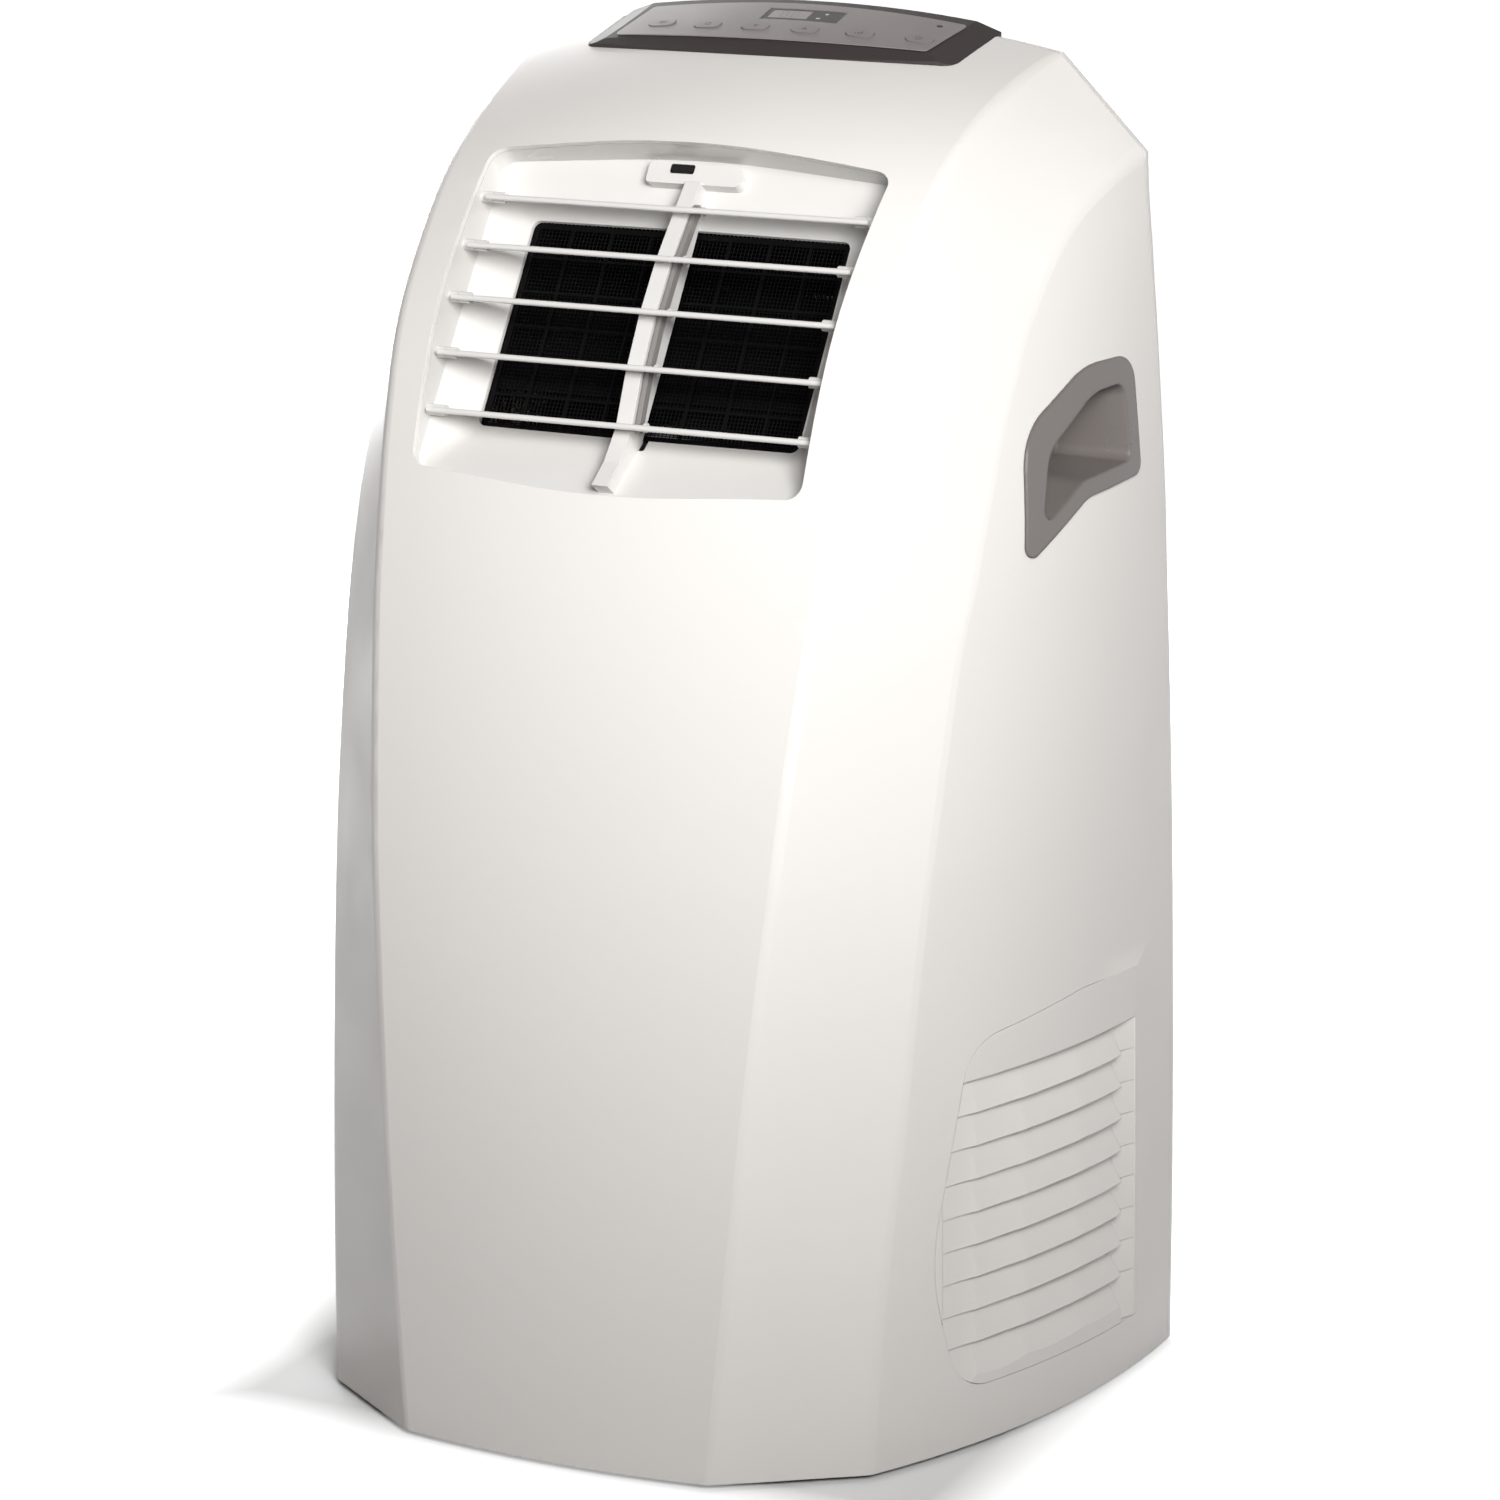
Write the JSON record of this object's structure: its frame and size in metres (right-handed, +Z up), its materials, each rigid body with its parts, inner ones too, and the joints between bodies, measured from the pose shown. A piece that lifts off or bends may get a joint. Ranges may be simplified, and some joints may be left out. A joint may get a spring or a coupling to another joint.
{
  "type": "portable air conditioner",
  "caption": "Tall portable air conditioner on castors: faceted white cabinet, slatted air outlet, top control panel, side grips and grilles, rear filter and hose collar.",
  "frame": {"origin": "centre of the bounding box on the floor, under the castors", "axes": "+Z up, -Y out of the front with the air outlet, +X towards the right-hand side seen from behind the panel user, that is the side with the swing motor"},
  "size_m": [0.43, 0.3301, 0.6934],
  "materials": {
    "casing_plastic": "fine grain, satin",
    "outlet_plastic": "smooth, semi-gloss",
    "bezel_plastic": "satin",
    "overlay_plastic": "satin",
    "display_window": "smooth, glossy",
    "dark_window": "smooth, glossy",
    "grip_plastic": "satin",
    "black_plastic": "matt",
    "base_plastic": "matt",
    "filter_plastic": "matt",
    "duct_plastic": "matt",
    "board": "lacquered",
    "compressor_paint": "semi-gloss paint",
    "motor_steel": "zinc plated",
    "coil_aluminium": "bright fins",
    "copper": "drawn copper tube",
    "screw_steel": "zinc plated",
    "rubber": "matt",
    "caster_plastic": "matt"
  },
  "bodies": {
    "casing": {"accumulator": "compressor_paint", "base_pan": "base_plastic", "case_screws": "screw_steel", "compressor": "compressor_paint", "compressor_feet": "rubber", "condenser_coil": "coil_aluminium", "condenser_motor": "motor_steel", "condenser_scroll": "duct_plastic", "control_bezel": "bezel_plastic", "control_board": "board", "cord_gland": "base_plastic", "discharge_tube": "copper", "display_window": "display_window", "drain_pan": "duct_plastic", "electrics_box": "motor_steel", "evaporator_coil": "coil_aluminium", "evaporator_motor": "motor_steel", "evaporator_scroll": "duct_plastic", "front_case": "casing_plastic", "handle_cup_left": "grip_plastic", "handle_cup_right": "grip_plastic", "hose_collar": "base_plastic", "liquid_tube": "copper", "louver_frame": "outlet_plastic", "outlet_guard": "black_plastic", "panel_overlay": "overlay_plastic", "rear_cover": "casing_plastic", "side_grille_left": "casing_plastic", "side_grille_right": "casing_plastic", "signal_window": "dark_window", "suction_tube": "copper", "swing_motor": "base_plastic"},
    "louver_1": {"louver_blade_1": "outlet_plastic"},
    "louver_2": {"louver_blade_2": "outlet_plastic"},
    "louver_3": {"louver_blade_3": "outlet_plastic"},
    "louver_4": {"louver_blade_4": "outlet_plastic"},
    "louver_5": {"louver_blade_5": "outlet_plastic"},
    "link": {"louver_link": "outlet_plastic"},
    "key_1": {"panel_key_1": "overlay_plastic"},
    "key_2": {"panel_key_2": "overlay_plastic"},
    "key_3": {"panel_key_3": "overlay_plastic"},
    "key_4": {"panel_key_4": "overlay_plastic"},
    "key_5": {"panel_key_5": "overlay_plastic"},
    "key_6": {"panel_key_6": "overlay_plastic"},
    "condenser_fan": {"condenser_wheel": "duct_plastic"},
    "evaporator_fan": {"evaporator_wheel": "duct_plastic"},
    "fork_1": {"caster_fork_1": "caster_plastic"},
    "wheel_1": {"caster_wheel_1": "caster_plastic"},
    "fork_2": {"caster_fork_2": "caster_plastic"},
    "wheel_2": {"caster_wheel_2": "caster_plastic"},
    "fork_3": {"caster_fork_3": "caster_plastic"},
    "wheel_3": {"caster_wheel_3": "caster_plastic"},
    "fork_4": {"caster_fork_4": "caster_plastic"},
    "wheel_4": {"caster_wheel_4": "caster_plastic"},
    "filter": {"filter_frame": "filter_plastic"},
    "upper_plug": {"upper_drain_plug": "rubber"},
    "lower_plug": {"lower_drain_plug": "rubber"}
  },
  "joints": [
    {"name": "louver_3_swing", "type": "hinge", "parent": "casing", "child": "louver_3", "pos_m": [0, -0.05255, 0.5602], "axis": [1, 0, 0], "range_deg": [-15, 24]},
    {"name": "louver_1_swing", "type": "hinge", "parent": "casing", "child": "louver_1", "pos_m": [0, -0.01491, 0.60496], "axis": [1, 0, 0], "range_deg": [-15, 24]},
    {"name": "louver_2_swing", "type": "hinge", "parent": "casing", "child": "louver_2", "pos_m": [0, -0.03499, 0.58364], "axis": [1, 0, 0], "range_deg": [-15, 24]},
    {"name": "louver_4_swing", "type": "hinge", "parent": "casing", "child": "louver_4", "pos_m": [0, -0.06735, 0.53493], "axis": [1, 0, 0], "range_deg": [-15, 24]},
    {"name": "louver_5_swing", "type": "hinge", "parent": "casing", "child": "louver_5", "pos_m": [0, -0.07923, 0.50816], "axis": [1, 0, 0], "range_deg": [-15, 24]},
    {"name": "link_turn", "type": "hinge", "parent": "louver_3", "child": "link", "pos_m": [0, -0.04467, 0.55881], "axis": [1, 0, 0], "range_deg": [-24, 15]},
    {"name": "key_1_press", "type": "slide", "parent": "casing", "child": "key_1", "axis": [-0.0998, -0.2909, 0.9515], "range_m": [-0.0006, 0], "stiffness_N_per_m": 600, "springref_m": 0.0002},
    {"name": "key_2_press", "type": "slide", "parent": "casing", "child": "key_2", "axis": [-0.0573, -0.2919, 0.9547], "range_m": [-0.0006, 0], "stiffness_N_per_m": 600, "springref_m": 0.0002},
    {"name": "key_3_press", "type": "slide", "parent": "casing", "child": "key_3", "axis": [-0.0152, -0.2923, 0.9562], "range_m": [-0.0006, 0], "stiffness_N_per_m": 600, "springref_m": 0.0002},
    {"name": "key_4_press", "type": "slide", "parent": "casing", "child": "key_4", "axis": [0.0267, -0.2923, 0.956], "range_m": [-0.0006, 0], "stiffness_N_per_m": 600, "springref_m": 0.0002},
    {"name": "key_5_press", "type": "slide", "parent": "casing", "child": "key_5", "axis": [0.0719, -0.2916, 0.9538], "range_m": [-0.0006, 0], "stiffness_N_per_m": 600, "springref_m": 0.0002},
    {"name": "key_6_press", "type": "slide", "parent": "casing", "child": "key_6", "axis": [0.1199, -0.2903, 0.9494], "range_m": [-0.0006, 0], "stiffness_N_per_m": 600, "springref_m": 0.0002},
    {"name": "condenser_fan_spin", "type": "hinge", "parent": "casing", "child": "condenser_fan", "pos_m": [0.075, 0.05, 0.195], "axis": [0, 1, 0], "continuous": true},
    {"name": "evaporator_fan_spin", "type": "hinge", "parent": "casing", "child": "evaporator_fan", "pos_m": [0, 0.045, 0.455], "axis": [0, 1, 0], "continuous": true},
    {"name": "caster_1_swivel", "type": "hinge", "parent": "casing", "child": "fork_1", "pos_m": [-0.112, -0.088, 0.045], "axis": [0, 0, 1], "continuous": true},
    {"name": "caster_1_roll", "type": "hinge", "parent": "fork_1", "child": "wheel_1", "pos_m": [-0.112, -0.077, 0.018], "axis": [1, 0, 0], "continuous": true},
    {"name": "caster_2_swivel", "type": "hinge", "parent": "casing", "child": "fork_2", "pos_m": [0.112, -0.088, 0.045], "axis": [0, 0, 1], "continuous": true},
    {"name": "caster_2_roll", "type": "hinge", "parent": "fork_2", "child": "wheel_2", "pos_m": [0.112, -0.077, 0.018], "axis": [1, 0, 0], "continuous": true},
    {"name": "caster_3_swivel", "type": "hinge", "parent": "casing", "child": "fork_3", "pos_m": [0.165, 0.092, 0.045], "axis": [0, 0, 1], "continuous": true},
    {"name": "caster_3_roll", "type": "hinge", "parent": "fork_3", "child": "wheel_3", "pos_m": [0.165, 0.103, 0.018], "axis": [1, 0, 0], "continuous": true},
    {"name": "caster_4_swivel", "type": "hinge", "parent": "casing", "child": "fork_4", "pos_m": [-0.165, 0.092, 0.045], "axis": [0, 0, 1], "continuous": true},
    {"name": "caster_4_roll", "type": "hinge", "parent": "fork_4", "child": "wheel_4", "pos_m": [-0.165, 0.103, 0.018], "axis": [1, 0, 0], "continuous": true},
    {"name": "filter_slide", "type": "slide", "parent": "casing", "child": "filter", "axis": [0, 0, 1], "range_m": [0, 0.23]},
    {"name": "upper_plug_pull", "type": "slide", "parent": "casing", "child": "upper_plug", "axis": [0, 1, 0], "range_m": [0, 0.02]},
    {"name": "lower_plug_pull", "type": "slide", "parent": "casing", "child": "lower_plug", "axis": [0, 1, 0], "range_m": [0, 0.02]}
  ],
  "couplings": [
    {"joint": "louver_1_swing", "follows": "louver_3_swing", "ratio": 1},
    {"joint": "louver_2_swing", "follows": "louver_3_swing", "ratio": 1},
    {"joint": "louver_4_swing", "follows": "louver_3_swing", "ratio": 1},
    {"joint": "louver_5_swing", "follows": "louver_3_swing", "ratio": 1},
    {"joint": "link_turn", "follows": "louver_3_swing", "ratio": -1}
  ]
}
